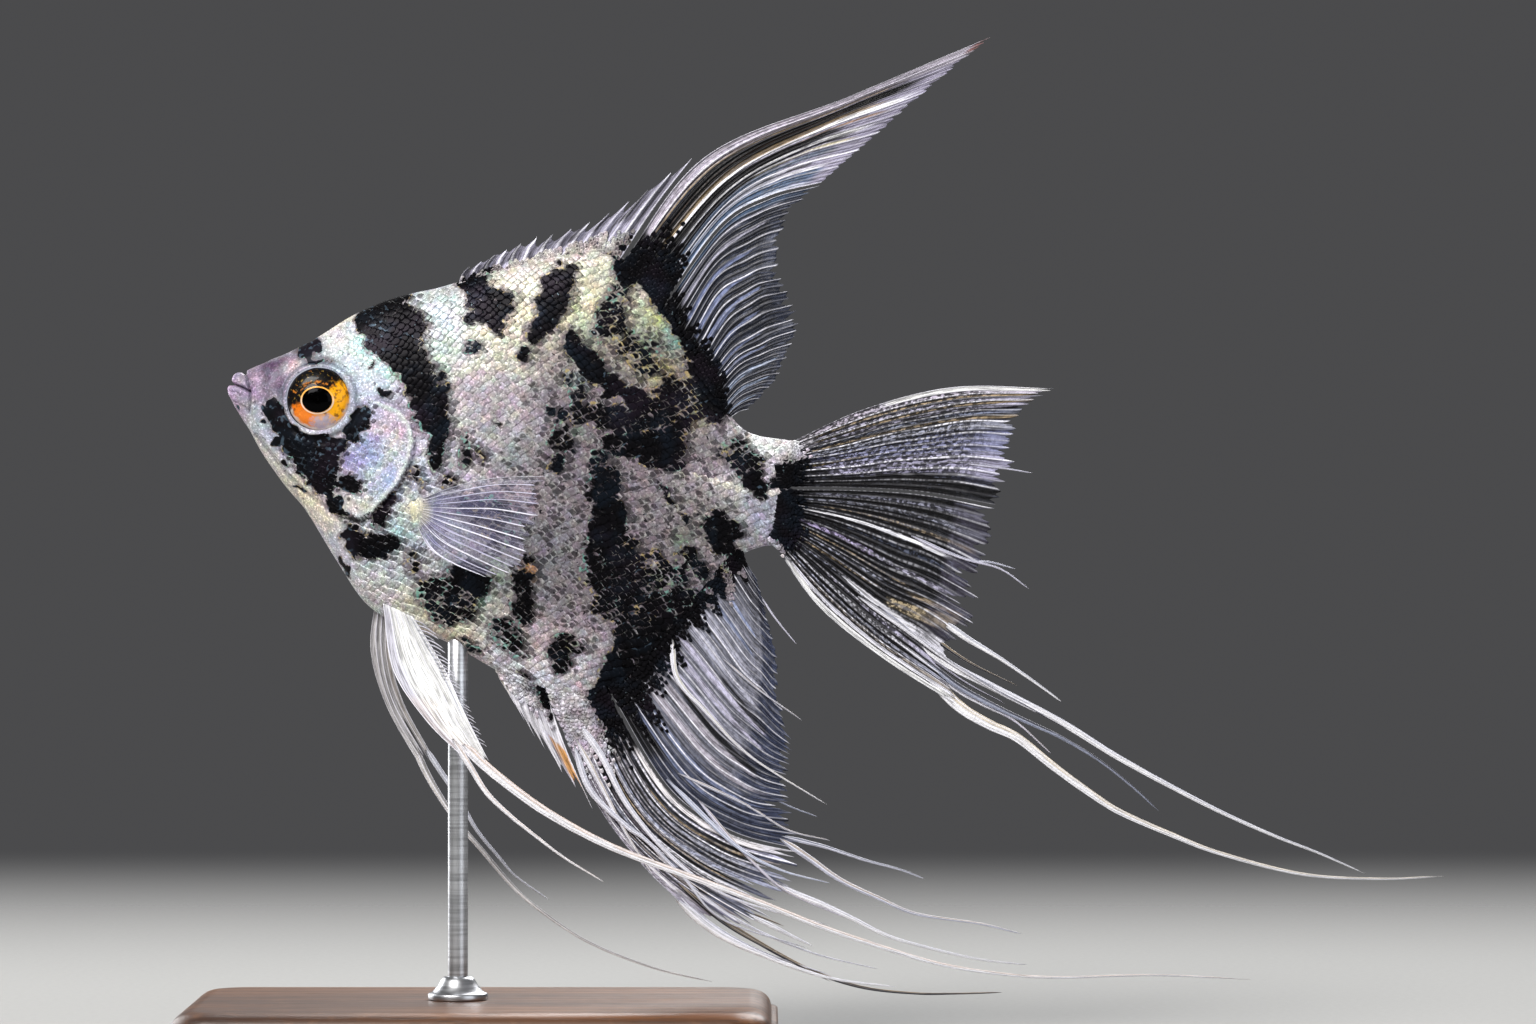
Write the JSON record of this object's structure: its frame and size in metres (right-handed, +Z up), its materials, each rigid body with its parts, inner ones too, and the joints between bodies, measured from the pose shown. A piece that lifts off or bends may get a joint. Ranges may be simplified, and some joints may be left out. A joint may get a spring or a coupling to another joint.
{
  "type": "freshwater angelfish model",
  "caption": "Still, life-size museum-type model of a marble, veil-finned freshwater angelfish in mid-swim, held by a thin rod on a flat wooden display base.",
  "frame": {"origin": "middle of the display base's underside", "axes": "+X from the fish's snout towards its tail, -Y towards the fish's left side, +Z up"},
  "size_m": [0.1908, 0.056, 0.1522],
  "materials": {
    "flank_skin": "satin, scaled, marbled in black on silvery white",
    "dark_skin": "satin, scaled, black marbling with pale scales between",
    "head_skin": "smooth satin with a pearly blue sheen",
    "lip_skin": "smooth satin, pinkish lavender",
    "iris": "glossy, golden iris round a black pupil",
    "clear_fin": "ribbed, thin and translucent",
    "dark_fin": "ribbed, streaked in black and bluish white",
    "pale_fin": "ribbed, bluish white",
    "walnut": "oiled walnut with a soft bevel",
    "steel": "fine brushed"
  },
  "bodies": {
    "root": {"head": "head_skin", "upper_jaw": "lip_skin", "lower_jaw": "lip_skin", "gill_cover_left": "head_skin", "gill_cover_right": "head_skin", "eye_left": "iris", "eye_right": "iris", "trunk_front": "flank_skin", "trunk_rear": "dark_skin", "tail_stalk": "flank_skin", "dorsal_fin_spines": "dark_fin", "dorsal_fin_plume": "dark_fin", "dorsal_fin_rear": "clear_fin", "anal_fin_spines": "dark_fin", "anal_fin_front": "dark_fin", "anal_fin_rear": "clear_fin", "tail_fin_upper": "pale_fin", "tail_fin_lower": "dark_fin", "pelvic_fin_left": "pale_fin", "pelvic_fin_right": "pale_fin", "pectoral_fin_left": "clear_fin", "pectoral_fin_right": "clear_fin", "tail_streamer_long": "pale_fin", "tail_streamer_second": "pale_fin", "tail_streamer_third": "dark_fin", "tail_streamer_short": "dark_fin", "anal_streamer_lowest": "pale_fin", "anal_streamer_dark": "dark_fin", "anal_streamer_short": "pale_fin", "anal_streamer_middle": "pale_fin", "anal_streamer_long": "pale_fin", "anal_streamer_upper": "clear_fin", "pelvic_streamer_left_long": "pale_fin", "pelvic_streamer_left_short": "pale_fin", "pelvic_streamer_right_long": "pale_fin", "pelvic_streamer_right_short": "pale_fin", "stand_base": "walnut", "stand_ferrule": "steel", "stand_rod": "steel"}
  },
  "joints": []
}
